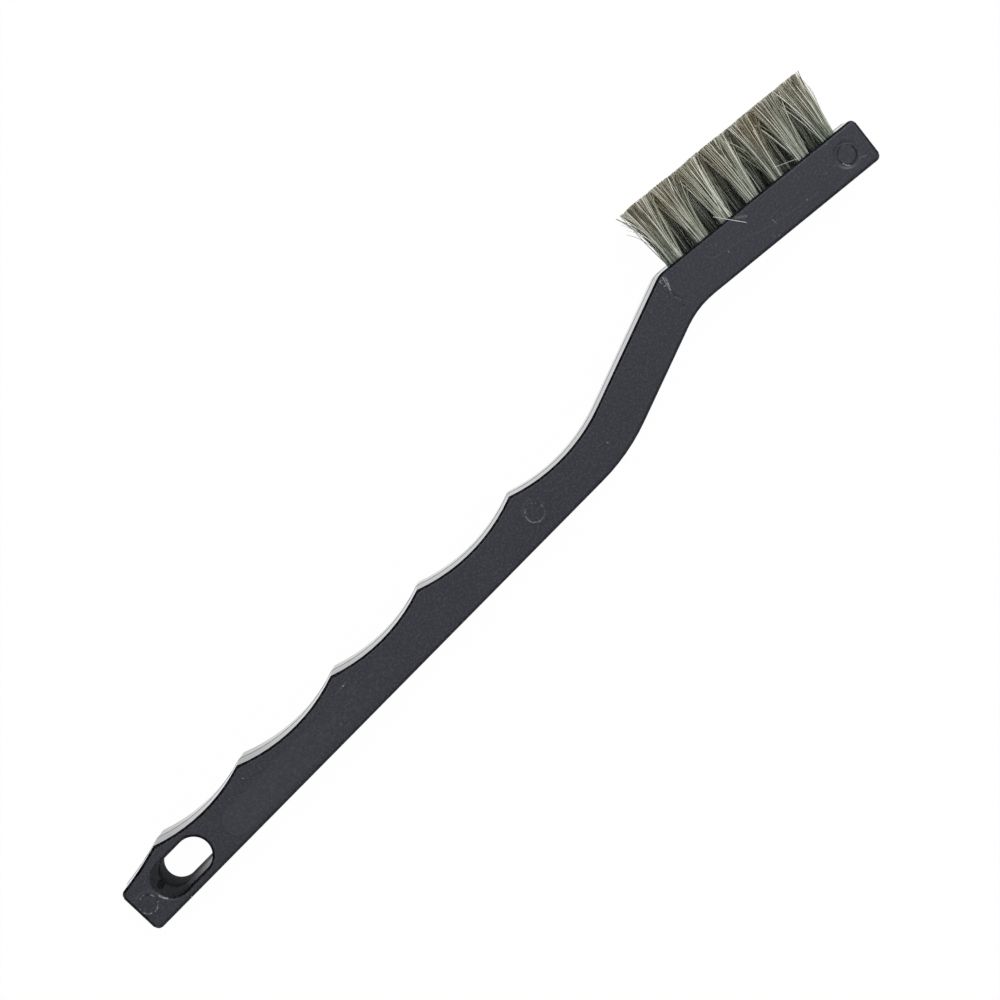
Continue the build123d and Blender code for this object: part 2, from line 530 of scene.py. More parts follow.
    def build(self) -> bpy.types.Material:
        """Makes the material.

        Returns:
            The material.
        """
        material, graph = new_material("black_moulded_plastic")
        place, x, y, z = graph.place_mm()
        normal = graph.signal("ShaderNodeNewGeometry", out="Normal")
        facing = Signal(graph, graph.node("ShaderNodeSeparateXYZ", values={0: normal}).outputs[2])
        upper = facing.ramp(*self.upper_slopes)

        clouds = graph.noise(place, *self.clouds)
        mottle = graph.noise(place, *self.mottle)
        colour = graph.mix(clouds.ramp(*self.cloud_edges), self.body_colour, self.cloud_colour)
        # painted highlight: the head's face is painted lighter, standing in for its brighter reflection
        colour = graph.mix(self._head_side(x, y) * upper, colour, self.head_sheen_colour)

        panel = self._panel(x, y) * upper
        colour = graph.mix(panel * x.ramp(*self.panel_fade), colour, self.panel_colour)
        colour = graph.mix(graph.patches(place, self.speckle), colour, self.speck_colour)

        broken = graph.patches(place, self.seam_breaks)
        seam = graph.path(x, y, self.seam, self.seam_width) * broken
        for mark in self.seam_marks:
            seam = seam.most(graph.path(x, y, mark, self.seam_mark_width) * self.seam_mark_share)
        seam = seam * upper
        colour = graph.mix(seam * self.seam_share, colour, self.seam_colour)
        flow = graph.path(x, y, self.flow, self.flow_width) * upper
        colour = graph.mix(flow * self.flow_share, colour, self.scuff_colour)

        scuffs_and_glints = 0.0
        for start, end, width, strength in self.scuffs_and_glints:
            scuffs_and_glints = (graph.stroke(x, y, start, end, width) * strength).most(scuffs_and_glints)
        worn = graph.patches(place, self.wear)
        scuffs_and_glints = (scuffs_and_glints * worn).least(1.0) * facing.ramp(*self.scuff_slopes)
        # scuff marks and the painted glints get the pale scuff colour
        colour = graph.mix(scuffs_and_glints, colour, self.scuff_colour)
        rims, flash = self._pin_rims(graph, x, y, place)
        colour = graph.mix(flash * upper, colour, self.scuff_colour)

        dust = self._dust(graph, place)
        colour = graph.mix(dust, colour, self.dust_colour)

        parting = abs(z - BAR_MIDDLE).fade(*self.parting_edge)
        colour = graph.mix(parting * self.parting_share, colour, self.seam_colour)

        wall = abs(facing).fade(*self.wall_slopes)
        in_slot = abs(x).fade(*self.slot_half_length) * abs(y).fade(*self.slot_half_width) * wall
        roughness = self.roughness + (mottle - 0.5) * self.mottle_roughness
        roughness = roughness + clouds.ramp(*self.cloud_shine) * self.cloud_roughness
        roughness = roughness + scuffs_and_glints * self.scuff_roughness + dust * self.dust_roughness
        roughness = roughness + panel * self.panel_roughness
        roughness = roughness + wall * (self.wall_roughness - self.roughness)
        roughness = roughness + parting * self.parting_roughness
        slot_finish = (x - y).ramp(*self.slot_way, *self.slot_roughness) + z.ramp(*self.slot_half_change)
        flaw = self._flaw(x, y, z)
        slot_change = slot_finish - self.wall_roughness + flaw * self.flaw_roughness
        roughness = roughness + in_slot * slot_change
        height = graph.noise(place, *self.grain) * self.grain_height + mottle * self.mottle_height
        height = height - seam * self.seam_depth + scuffs_and_glints * self.scuff_height
        height = height + rims * upper - flaw * self.flaw_depth
        bump = graph.signal(
            "ShaderNodeBump", values={"Strength": 1.0, "Distance": MM, "Height": height}, out="Normal"
        )
        finish_surface(
            graph,
            {
                "Base Color": colour,
                "Roughness": roughness,
                "Normal": bump,
                "IOR": self.refraction,
                "Specular Tint": (*self.sheen_tint, 1.0),
                "Coat Weight": (wall - in_slot).most(0.0) * self.wall_polish,
                "Coat Roughness": self.wall_roughness,
            },
        )
        return material

    def _panel(self, x: Signal, y: Signal) -> Signal:
        """Gives 1 on the blank round-ended panel in the grip and 0 outside it."""
        start, end = self.panel_span
        distance = length(x - x.most(start).least(end), y - self.panel_line)
        return distance.fade(
            self.panel_half_width - self.panel_edge, self.panel_half_width + self.panel_edge
        )

    def _head_side(self, x: Signal, y: Signal) -> Signal:
        """Gives 1 on the head and 0 on the neck, split by the crease and a slanted line of the mould; it
        places the head's painted sheen.
        """
        (start_x, start_y), (end_x, end_y) = self.head_line
        span = math.hypot(start_x - end_x, start_y - end_y)
        across_x, across_y = (start_y - end_y) / span, -(start_x - end_x) / span
        beyond = (x - end_x) * across_x + (y - end_y) * across_y
        return beyond.ramp(*self.head_line_edge) * x.ramp(*self.head_start)

    def _flaw(self, x: Signal, y: Signal, z: Signal) -> Signal:
        """Gives 1 in the middle of the small pit in the slot's wall, which is tall, and 0 outside it."""
        off_x, off_y, off_z = (axis - centre for axis, centre in zip((x, y, z), self.slot_flaw))
        squared = off_x * off_x + off_y * off_y + off_z * off_z * self.slot_flaw_squash
        return squared.sqrt().fade(*self.slot_flaw_edge)

    def _pin_rims(self, graph: Graph, x: Signal, y: Signal, place: Signal) -> tuple[Signal, Signal]:
        """Gives the ejector pins' marks.

        Args:
            graph: The material's graph.
            x: The point's first coordinate, in millimetres.
            y: The point's second coordinate, in millimetres.
            place: The point in millimetres.

        Returns:
            The height of the narrow step round each pin, and the mask of the torn flash on it.
        """
        torn = graph.patches(place, self.tears)
        rims, flashes = 0.0, 0.0
        for centre, rise, strength in self.pins:
            radius = length(x - centre[0], y - centre[1])
            step = radius.ramp(self.pin_radius - self.pin_step, self.pin_radius + self.pin_step, -rise, rise)
            flash = abs(radius - self.pin_radius).ramp(*self.pin_flash, strength, 0.0) * torn
            near = radius.fade(*(self.pin_radius + margin for margin in self.pin_reach))
            rims = (step + flash * self.flash_height) * near + rims
            flashes = flash.most(flashes)
        return rims, flashes

    def _dust(self, graph: Graph, place: Signal) -> Signal:
        """Gives small specks: a scattered point shows where its cell's random number is high."""
        values = {"Vector": place, "Scale": self.dust_scale, "Randomness": 1.0}
        specks = graph.node("ShaderNodeTexVoronoi", values=values)
        cell = graph.node("ShaderNodeSeparateColor", values={0: specks.outputs["Color"]})
        draw, size, strength = (Signal(graph, cell.outputs[i]) for i in range(3))
        chosen = draw.ramp(*self.dust_share)
        radius = size * self.dust_radius[1] + self.dust_radius[0]
        near = (Signal(graph, specks.outputs["Distance"]) / radius).fade(*self.dust_edge)
        return near * chosen * (strength * self.dust_strength[1] + self.dust_strength[0])


@dataclass(frozen=True)
class NaturalHair:
    """Vegetable hair: straw, olive and grey-green, with a few dark and a few bleached strands."""

    tones: tuple[tuple[float, Colour], ...] = (
        (0.0, (0.027, 0.030, 0.022)),
        (0.25, (0.135, 0.145, 0.106)),
        (0.50, (0.374, 0.395, 0.305)),
        (0.75, (0.620, 0.645, 0.540)),
        (1.0, (0.885, 0.905, 0.835)),
    )
    root_colour: Colour = (0.250, 0.325, 0.255)
    tip_colour: Colour = (0.590, 0.430, 0.240)
    shade_colour: Colour = (0.006, 0.007, 0.006)
    fleck: Noise = (2.6, 2.0, 0.6)
    fleck_tone: float = 0.25
    tip_reach: Point = (0.5, 1.0)
    tip_contrast: float = 0.4
    tip_middle: float = 0.6
    root_tint: tuple[float, float, float] = (0.9, 0.0, 0.5)
    tip_tint: tuple[float, float, float] = (0.2, 1.0, 0.36)
    roughness: float = 0.34
    fleck_roughness: float = 0.2
    shelter_roughness: float = 0.3
    specular: float = 0.5

    def build(self) -> bpy.types.Material:
        """Makes the material from each hair's own tone, the way along it, and the painted shade of hair deep
        in the block.

        Returns:
            The material.
        """
        material, graph = new_material("natural_hair")
        tone, reach, tint, shelter = (
            graph.signal("ShaderNodeAttribute", {"attribute_name": name}, out="Fac")
            for name in ("tone", "reach", "tint", "shelter")
        )
        place = graph.place_mm()[0]
        fleck = graph.noise(place, *self.fleck)
        contrast = (tone - self.tip_middle) * reach.ramp(*self.tip_reach) * self.tip_contrast
        shade = tone + (fleck - 0.5) * self.fleck_tone + contrast
        colour = graph.signal(
            "ShaderNodeValToRGB", {"stops": list(self.tones)}, {"Fac": shade}, out="Color"
        )
        *root_reach, root_share = self.root_tint
        colour = graph.mix(reach.ramp(*root_reach) * root_share * tint, colour, self.root_colour)
        *tip_reach, tip_share = self.tip_tint
        colour = graph.mix(reach.ramp(*tip_reach) * tip_share * (1.0 - tint), colour, self.tip_colour)
        # painted shade: hair deep in the block and the root in its hole are darkened toward near black
        colour = graph.mix(shelter, colour, self.shade_colour)
        finish_surface(
            graph,
            {
                "Base Color": colour,
                "Roughness": self.roughness
                + (fleck - 0.5) * self.fleck_roughness
                + shelter * self.shelter_roughness,
                "Specular IOR Level": self.specular,
            },
        )
        return material


@dataclass(frozen=True)
class DrawnWire:
    """Flat brass-plated wire with fine lines from the die that drew it."""

    colour: Colour = (0.62, 0.47, 0.23)
    stain_colour: Colour = (0.33, 0.23, 0.11)
    stain: Patches = (1.4, 3.0, 0.6, 0.4, 0.7)
    stain_share: float = 0.7
    lines: Noise = (1.0, 2.0, 0.5)
    line_stretch: Place = (0.6, 14.0, 14.0)
    roughness: float = 0.3
    line_roughness: float = 0.25
    stain_roughness: float = 0.15

    def build(self) -> bpy.types.Material:
        """Makes the material.

        Returns:
            The material.
        """
        material, graph = new_material("drawn_wire")
        place = graph.place_mm()[0]
        stain = graph.patches(place, self.stain)
        stretched = graph.signal("ShaderNodeMapping", values={"Vector": place, "Scale": self.line_stretch})
        lines = graph.noise(stretched, *self.lines)
        roughness = self.roughness + (lines - 0.5) * self.line_roughness + stain * self.stain_roughness
        colour = graph.mix(stain * self.stain_share, self.colour, self.stain_colour)
        finish_surface(graph, {"Base Color": colour, "Metallic": 1.0, "Roughness": roughness})
        return material


@dataclass(frozen=True)
class StudioWhite:
    """White paper that the camera and reflections see plain white, with a part of its shadows kept."""

    paper_colour: Colour = (0.92, 0.92, 0.92)
    white: Colour = (1.0, 1.0, 1.0)
    fibre: Noise = (0.8, 2.0, 0.5)
    fibre_share: float = 0.02
    roughness: float = 0.9
    specular: float = 0.1
    floor_shares: tuple[tuple[RayKind, float], ...] = (
        (RayKind.CAMERA, 0.985),
        (RayKind.GLOSSY, 1.0),
        (RayKind.TRANSMISSION, 0.955),
    )
    sky_shares: tuple[tuple[RayKind, float], ...] = (
        (RayKind.CAMERA, 1.0),
        (RayKind.GLOSSY, 1.0),
        (RayKind.TRANSMISSION, 1.0),
    )

    def plain_share(self, graph: Graph, shares: tuple[tuple[RayKind, float], ...]) -> Signal:
        """Gives the share of plain white that the ray at hand sees."""
        path = graph.node("ShaderNodeLightPath")
        seen = 0.0
        for ray, share in shares:
            seen = (Signal(graph, path.outputs[ray.value]) * share).most(seen)
        return seen

    def build(self) -> bpy.types.Material:
        """Makes the floor's material.

        Returns:
            The material.
        """
        material, graph = new_material("studio_white")
        place = graph.place_mm()[0]
        fibre = graph.noise(place, *self.fibre)
        paper = graph.node(
            "ShaderNodeBsdfPrincipled",
            values={
                "Base Color": graph.mix(fibre * self.fibre_share, self.paper_colour, self.white),
                "Roughness": self.roughness,
                "Specular IOR Level": self.specular,
            },
        )
        plain = graph.node("ShaderNodeEmission", values={"Color": (*self.white, 1.0), "Strength": 1.0})
        share = self.plain_share(graph, self.floor_shares)
        mixed = graph.node(
            "ShaderNodeMixShader", values={0: share, 1: paper.outputs[0], 2: plain.outputs[0]}
        )
        graph.finish(mixed)
        return material


@dataclass
class Handle:
    """The bar: the CAD solid's own shape, with each flat bevel swelled into a rolled edge.

    A bevel's edge on the face and its edge on the wall stay where they are. Between them the face rolls
    over by the tilts of a table. Steps of one length, each at its own tilt, add up to the roll's line,
    which is scaled to the bevel's width. It meets the wall at a corner, and the last step runs straight
    down the wall.
    """

    node: str = "handle"
    slot: str = "black_plastic"
    edge_width: float = 0.6
    roll_tilts: tuple[Point, ...] = ((0.0, 3.5), (0.2, 8.0), (0.32, 19.0), (0.6, 33.0), (1.0, 43.0))
    roll_steps: int = 12
    bevel_lean: Point = (0.55, 0.85)
    slack: float = 0.01
    parting_slack: float = 0.001
    merge_distance: float = 0.0005
    flat_angle: float = 0.5
    sharp_angle: float = 40.0
    flash_proud: float = 0.04
    flash_sunk: float = 0.03
    flash_half_height: float = 0.12
    slot_box: Point = (6.6, 3.6)
    finish: MouldedPlastic = field(default_factory=MouldedPlastic)

    def build(self, frame: dict) -> None:
        """Makes the visible bar from the CAD mesh.
        """
        points, triangles = self._read(frame["nodes"][self.node].data)
        bevels = self._bevels(points, triangles)
        face_pair, wall_pair = self._rims(points, triangles[bevels])
        arc_points, arc_faces = self._arcs(points, face_pair, wall_pair)
        flash_points, flash_faces = self._flash(points, triangles[~bevels])
        faces = triangles[~bevels].tolist() + (arc_faces + len(points)).tolist()
        faces += (flash_faces + len(points) + len(arc_points)).tolist()
        mesh = bpy.data.meshes.new("handle_bar")
        mesh.from_pydata(np.vstack([points, arc_points, flash_points]) * MM, [], faces)
        self._join(mesh)
        self._shade(mesh)
        mesh.materials.append(self.finish.build())
        bar = new_object("handle_bar", mesh)
        weighted = bar.modifiers.new("face_normals", "WEIGHTED_NORMAL")
        weighted.keep_sharp = True
        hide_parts(self.node)
        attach(bar, BODY)
        log.info("handle: %d faces", len(mesh.polygons))

    def _read(self, mesh: bpy.types.Mesh) -> tuple[np.ndarray, np.ndarray]:
        """Reads a mesh of loose triangles and shares the corners that lie in one place.

        Args:
            mesh: The CAD mesh.

        Returns:
            The points in millimetres and the triangles.
        """
        loose = np.empty(len(mesh.vertices) * 3)
        mesh.vertices.foreach_get("co", loose)
        corners = np.empty(len(mesh.loops), dtype=np.int64)
        mesh.loops.foreach_get("vertex_index", corners)
        cells = np.round(loose.reshape(-1, 3) / MM / self.merge_distance).astype(np.int64)
        _, first, shared = np.unique(cells, axis=0, return_index=True, return_inverse=True)
        points = loose.reshape(-1, 3)[first] / MM
        return points, shared.reshape(-1)[corners].reshape(-1, 3)

    def _bevels(self, points: np.ndarray, triangles: np.ndarray) -> np.ndarray:
        """Tells which triangles are part of a face's bevel: they lean, and they lie near a broad face."""
        normals = face_normals(points, triangles)
        lean = np.abs(normals[:, 2]) / np.maximum(np.linalg.norm(normals, axis=1), TINY)
        depth = BAR_MIDDLE - np.abs(points[triangles][:, :, 2] - BAR_MIDDLE)
        near = depth.max(axis=1) < self.edge_width + self.slack
        return (lean > self.bevel_lean[0]) & (lean < self.bevel_lean[1]) & near

    def _rims(self, points: np.ndarray, triangles: np.ndarray) -> tuple[np.ndarray, np.ndarray]:
        """Pairs the ends of each bevel triangle: a triangle with one corner on an edge counts it twice.

        Args:
            points: All the points, in millimetres.
            triangles: The bevel's triangles.

        Returns:
            The two points on the face and the two on the wall, for each triangle.
        """
        on_face = np.abs(points[triangles][:, :, 2] - BAR_MIDDLE) > BAR_MIDDLE - self.slack
        single = on_face.sum(axis=1) == 1
        lone = np.where(single, np.argmax(on_face, axis=1), np.argmin(on_face, axis=1))
        turn = (lone[:, None] + np.arange(3)) % 3
        apex, second, third = np.take_along_axis(triangles, turn, axis=1).T
        face_pair = np.stack([np.where(single, apex, second), np.where(single, apex, third)], axis=1)
        wall_pair = np.stack([np.where(single, third, apex), np.where(single, second, apex)], axis=1)
        return face_pair, wall_pair

    def _arcs(
        self, points: np.ndarray, face_pair: np.ndarray, wall_pair: np.ndarray
    ) -> tuple[np.ndarray, np.ndarray]:
        """Gives each bevel triangle as a strip of faces across the roll.

        Args:
            points: All the points, in millimetres.
            face_pair: Each triangle's points on the face.
            wall_pair: Each triangle's points on the wall.

        Returns:
            The strips' points and faces.
        """
        step_middles = (np.arange(self.roll_steps) + 0.5) / self.roll_steps
        tilt = np.radians(np.interp(step_middles, *zip(*self.roll_tilts)))
        width = np.cos(tilt).sum()
        outward = np.concatenate([[0.0], np.cumsum(np.cos(tilt)) / width, [1.0]])
        down = np.concatenate([[0.0], np.cumsum(np.sin(tilt)) / width, [1.0]])
        share = np.stack([outward, outward, down], axis=1)[None, :, None]
        rolled = points[face_pair][:, None] * (1 - share) + points[wall_pair][:, None] * share

        grid = np.arange(rolled[..., 0].size).reshape(rolled.shape[:3])
        return rolled.reshape(-1, 3), quad_faces(grid)

    def _outward(self, points: np.ndarray, triangles: np.ndarray) -> np.ndarray:
        """Gives the level direction away from the body at each point: its triangles' normals, laid level."""
        normals = face_normals(points, triangles)
        normals[:, 2] = 0.0
        outward = np.zeros_like(points)
        np.add.at(outward, triangles.reshape(-1), np.repeat(normals, 3, axis=0))
        return outward / np.maximum(np.linalg.norm(outward, axis=1, keepdims=True), TINY)

    def _flash(self, points: np.ndarray, triangles: np.ndarray) -> tuple[np.ndarray, np.ndarray]:
        """Gives the thin ridge that the mould's parting line leaves round the bar's outline.

        Each outline point at the parting line gets a crest that stands proud of the wall and two feet sunk
        into it, one above and one below. Neighbours join up, so that the ridge is a closed ring.

        Args:
            points: All the points, in millimetres.
            triangles: The triangles that are no bevels.

        Returns:
            The ridge's points and faces.
        """
        outward = self._outward(points, triangles)
        level = np.abs(points[:, 2] - BAR_MIDDLE) < self.parting_slack
        in_slot = (np.abs(points[:, 0]) < self.slot_box[0]) & (np.abs(points[:, 1]) < self.slot_box[1])
        chosen = level & ~in_slot
        sides = np.concatenate([triangles[:, [0, 1]], triangles[:, [1, 2]], triangles[:, [2, 0]]])
        sides = np.unique(np.sort(sides[chosen[sides].all(axis=1)], axis=1), axis=0)
        used, ends = np.unique(sides, return_inverse=True)
        ends = ends.reshape(-1, 2)

        steps = np.array([
            [self.flash_proud, 0.0],
            [-self.flash_sunk, self.flash_half_height],
            [-self.flash_sunk, -self.flash_half_height],
        ])
        ring = points[used][:, None] + outward[used][:, None] * steps[None, :, :1]
        ring[..., 2] += steps[None, :, 1]
        corner = ends[:, :, None] * 3 + np.arange(3)
        following = np.roll(corner, -1, axis=2)
        faces = np.stack([corner[:, 0], corner[:, 1], following[:, 1], following[:, 0]], axis=2)
        return ring.reshape(-1, 3), faces.reshape(-1, 4)

    def _join(self, mesh: bpy.types.Mesh) -> None:
        """Joins the strips to the rest and the flat triangles into whole faces."""
        work = bmesh.new()
        work.from_mesh(mesh)
        bmesh.ops.remove_doubles(work, verts=work.verts, dist=self.merge_distance * MM)
        bmesh.ops.dissolve_limit(
            work, angle_limit=math.radians(self.flat_angle), verts=work.verts, edges=work.edges
        )
        bmesh.ops.recalc_face_normals(work, faces=work.faces)
        work.to_mesh(mesh)
        work.free()

    def _shade(self, mesh: bpy.types.Mesh) -> None:
        """Shades the faces smooth and keeps corners, mark edges and the parting line sharp."""
        mesh.polygons.foreach_set("use_smooth", np.ones(len(mesh.polygons), dtype=bool))
        mesh.set_sharp_from_angle(angle=math.radians(self.sharp_angle))
        heights = np.empty(len(mesh.vertices) * 3)
        mesh.vertices.foreach_get("co", heights)
        ends = np.empty(len(mesh.edges) * 2, dtype=np.int64)
        mesh.edges.foreach_get("vertices", ends)
        off_middle = np.abs(heights[2::3] - BAR_MIDDLE * MM)[ends.reshape(-1, 2)].max(axis=1)
        sharp = np.empty(len(mesh.edges), dtype=bool)
        mesh.attributes["sharp_edge"].data.foreach_get("value", sharp)
        mesh.attributes["sharp_edge"].data.foreach_set(
            "value", sharp | (off_middle < self.parting_slack * MM)
        )


@dataclass(frozen=True)
class Stray:
    """One loose hair that stands off its tuft, bowed through three places in the frame's millimetres."""

    row: Row
    column: int
    start: Place
    middle: Place
    end: Place
    tone: float = 0.95
    radius: float = 0.075


@dataclass
class Tuft:
    """One bundle of hair in its hole: many fine tapered strands over a root that fills the hole.

    Lengths are in millimetres. The hair's places in the hole are on a disc of radius 1, which the root
    spread widens. A scatter is the standard deviation of a random draw, along and across where it is a
    pair. The painted shade darkens hair deep in the block; shelter_depth and shelter_height are pairs of
    where it starts and where it is full. The other pairs are ranges of even draws, apart from the middle
    tone, which is a mean and its scatter.
    """

    plan: HeadPlan
    row: Row
    column: int
    strays: tuple[Stray, ...] = ()
    hairs: int = 160
    sides: int = 5
    steps: int = 9
    root_spread: float = 1.24
    lean_forward: float = 2.2
    lean_back: float = 1.3
    end_lean_forward: float = 1.3
    end_lean_back: float = 1.1
    forward_power: float = 1.15
    back_power: float = 2.1
    end_back_power: float = 2.7
    lean_across: float = 0.45
    clumps: int = 14
    clump_pull: float = 0.4
    loose_share: float = 0.33
    loose_lean: float = 1.35
    end_loose_lean: float = 0.55
    loose_light: float = 0.72
    loose_tone: float = 0.12
    loose_powers: Point = (1.2, 2.6)
    loose_bow: float = 2.0
    bow: float = 0.13
    tip_scatter: Point = (0.2, 0.14)
    power_scatter: float = 0.12
    trim_scatter: float = 0.13
    tuft_trim: Point = (-0.08, 0.12)
    short_share: float = 0.06
    short_by: Point = (0.3, 3.5)
    end_droop: float = 0.25
    spiral_turn: float = 0.6
    floor_gap: float = 0.15
    face_overhang: float = 0.25
    reach_limit: float = 3.9
    hair_radius: float = 0.098
    radius_spread: Point = (0.75, 1.25)
    tip_taper: float = 0.3
    clump_tint: float = 0.6
    middle_tone: Point = (0.5, 0.11)
    dark_tones: Point = (0.04, 0.28)
    pale_tones: Point = (0.75, 1.0)
    clump_tone: float = 0.07
    least_tone: float = 0.02
    pale_share: float = 0.2
    dark_share: float = 0.3
    shelter_spread: Point = (0.75, 1.05)
    shelter_margin: float = 0.8
    shelter_depth: Point = (1.3, 4.0)
    shelter_height: Point = (0.12, 0.75)
    shelter_base: float = 0.95
    shelter_tip: float = 0.1
    root_start: float = -1.1
    root_floor: float = -5.3
    root_top: float = -0.7
    root_gap: float = 0.05
    root_round: float = 0.5
    root_flat_share: float = 0.6
    root_turns: int = 16
    root_tone: float = 0.1
    root_tint: float = 0.5
    root_shelter: float = 0.9
    seed: int = 20

    @property
    def name(self) -> str:
        """The CAD node that this tuft stands for."""
        return f"tuft_{self.row.value}_{self.column + 1}"

    @property
    def shares(self) -> np.ndarray:
        """The share of the way from a hair's root to its tip at each of its rings."""
        return np.linspace(0.0, 1.0, self.steps + 1)

    def build(self, material: bpy.types.Material) -> None:
        """Makes the tuft's mesh and puts it in place.

        Args:
            material: The hair's finish.
        """
        chance = np.random.default_rng(self.seed + 100 * list(Row).index(self.row) + self.column)
        root = self._roots(chance)
        clump, clump_of = self._clumps(root, chance)
        stray_count = len(self.strays)
        loose = chance.random(self.hairs) < self.loose_share
        paths = np.concatenate([self._paths(root, clump[clump_of], loose, chance), self._stray_paths()])
        tone = self._tones(clump_of, chance) + np.where(loose, self.loose_tone, 0.0)
        tone = np.append(np.clip(tone, 0.0, 1.0), [stray.tone for stray in self.strays])
        clump_tint = chance.random(self.clumps)[clump_of] * self.clump_tint
        tint = clump_tint + chance.random(self.hairs) * (1.0 - self.clump_tint)
        tint = np.append(tint, np.ones(stray_count))
        radius = self.hair_radius * chance.uniform(*self.radius_spread, self.hairs)
        radius = np.append(radius, [stray.radius for stray in self.strays])
        # painted shade for each ring, which loose hairs get less of
        hidden = chance.uniform(*self.shelter_spread, self.hairs)
        hidden = hidden * np.where(loose, 1.0 - self.loose_light, 1.0)
        shelter = self._shelter(root) * hidden[:, None]
        shelter = np.clip(np.concatenate([shelter, np.zeros((stray_count, self.steps + 1))]), 0.0, 1.0)
        points, quads, caps, reach = self._tubes(paths, radius, chance)
        ring = (self.steps + 1) * self.sides
        root_points, root_faces = self._root()
        faces = quads.tolist() + caps.tolist() + (root_faces + len(points)).tolist()
        mesh = bpy.data.meshes.new(self.name + "_hair")
        mesh.from_pydata(self._placed(np.vstack([points, root_points])), [], faces)
        per_point = {
            "tone": (np.repeat(tone, ring), self.root_tone),
            "tint": (np.repeat(tint, ring), self.root_tint),
            "shelter": (np.repeat(shelter, self.sides), self.root_shelter),
            "reach": (reach, 0.0),
        }
        for name, (on_hairs, on_root) in per_point.items():
            values = np.append(on_hairs, np.full(len(root_points), on_root))
            attribute = mesh.attributes.new(name, "FLOAT", "POINT")
            attribute.data.foreach_set("value", values.astype(np.float32))
        mesh.polygons.foreach_set("use_smooth", np.ones(len(mesh.polygons), bool))
        mesh.materials.append(material)
        tuft = new_object(self.name + "_hair", mesh)
        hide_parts(self.name)
        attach(tuft, BODY)

    def _roots(self, chance: np.random.Generator) -> np.ndarray:
        """Gives each hair's place in the hole, on a sunflower spiral of radius 1.

        Hair number i of n stands at the radius root((i + 1/2) / n), and each is turned from the last by the
        golden angle, pi times (3 - root 5), and by a random angle of its own.
        """
        index = np.arange(self.hairs) + 0.5
        radius = np.sqrt(index / self.hairs)
        own_turn = chance.uniform(0, self.spiral_turn, self.hairs)
        angle = index * math.pi * (3 - math.sqrt(5)) + own_turn
        return np.stack([radius * np.cos(angle), radius * np.sin(angle)], axis=1)

    def _clumps(self, root: np.ndarray, chance: np.random.Generator) -> tuple[np.ndarray, np.ndarray]:
        """Gives the middles of the clumps that hairs stick together in, and each hair's clump."""
        radius = np.sqrt(chance.random(self.clumps))
        angle = chance.uniform(0, 2 * math.pi, self.clumps)
        middles = np.stack([radius * np.cos(angle), radius * np.sin(angle)], axis=1)
        gaps = np.linalg.norm(root[:, None] - middles[None], axis=2)
        return middles, np.argmin(gaps, axis=1)

    def _paths(
        self, root: np.ndarray, clump: np.ndarray, loose: np.ndarray, chance: np.random.Generator
    ) -> np.ndarray:
        """Gives each hair's line from the root to the tip.

        A hair leaves its hole straight and leans out: its sideways travel is its tip's offset times the
        share of its height to a power, which is low for the side that leans early and high for the side
        that leans late, plus a bow that is zero at both ends.

        Args:
            root: The hairs' places in the hole, on a disc of radius 1.
            clump: The middle of each hair's clump, on the same disc.
            loose: Which hairs wander out of the bundle.
            chance: The tuft's source of chance.

        Returns:
            The lines, as (hair, step, along/across/up).
        """
        count = self.hairs
        first, last = self.column == 0, self.column == self.plan.count(self.row) - 1
        forward = self.end_lean_forward if last else self.lean_forward
        back = self.end_lean_back if first else self.lean_back
        pulled = root + (clump - root) * self.clump_pull
        tip = root * self.root_spread
        tip[:, 0] += np.where(pulled[:, 0] > 0, forward, back) * pulled[:, 0]
        tip[:, 1] += pulled[:, 1] * self.lean_across
        tip += chance.normal(0.0, 1.0, (count, 2)) * np.array(self.tip_scatter)
        at_end = (root[:, 0] < 0) & first | (root[:, 0] > 0) & last
        loose_lean = np.where(at_end, self.end_loose_lean, self.loose_lean)
        tip[:, 0] += np.where(loose, chance.normal(0.0, 1.0, count) * loose_lean, 0.0)
        tip[:, 0] = np.clip(tip[:, 0], -self.reach_limit, self.reach_limit)

        back_power = self.end_back_power if first else self.back_power
        power = np.where(pulled[:, 0] > 0, self.forward_power, back_power)
        power = power + chance.normal(0.0, self.power_scatter, count)
        power = np.where(loose & ~at_end, chance.uniform(*self.loose_powers, count), power)
        height = self.plan.trim - np.abs(chance.normal(0.0, self.trim_scatter, count))
        height += chance.uniform(*self.tuft_trim)
        short = chance.random(count) < self.short_share
        height -= np.where(short, chance.uniform(*self.short_by, count), 0.0)
        height -= self.end_droop * np.abs(root[:, 0]) ** 3
        up = self.root_start + (height[:, None] - self.root_start) * self.shares
        above = np.clip(up / height[:, None], 0.0, None)
        lean = above ** power[:, None]
        bow = chance.normal(0.0, self.bow, (count, 2)) * np.where(loose, self.loose_bow, 1.0)[:, None]
        wave = np.sin(above * math.pi)
        start = root * self.root_spread
        side = start[:, None, :] + (tip - start)[:, None, :] * lean[..., None]
        side = side + bow[:, None, :] * wave[..., None]
        across = self.plan.mouth(self.row, self.column)[2]
        side[..., 1] = np.clip(side[..., 1], self.floor_gap - across, BAR_WIDTH + self.face_overhang - across)
        return np.concatenate([side, up[..., None]], axis=2)

    def _tones(self, clump_of: np.ndarray, chance: np.random.Generator) -> np.ndarray:
        """Gives each hair's tone: a part of the hairs is pale, a part dark and the rest in between."""
        kind = chance.random(self.hairs)
        middle = chance.normal(*self.middle_tone, self.hairs)
        dark = chance.uniform(*self.dark_tones, self.hairs)
        pale = chance.uniform(*self.pale_tones, self.hairs)
        tone = np.where(kind < self.dark_share, dark, np.where(kind > 1 - self.pale_share, pale, middle))
        by_clump = chance.normal(0.0, self.clump_tone, self.clumps)[clump_of]
        return np.clip(tone + by_clump, self.least_tone, 1.0)

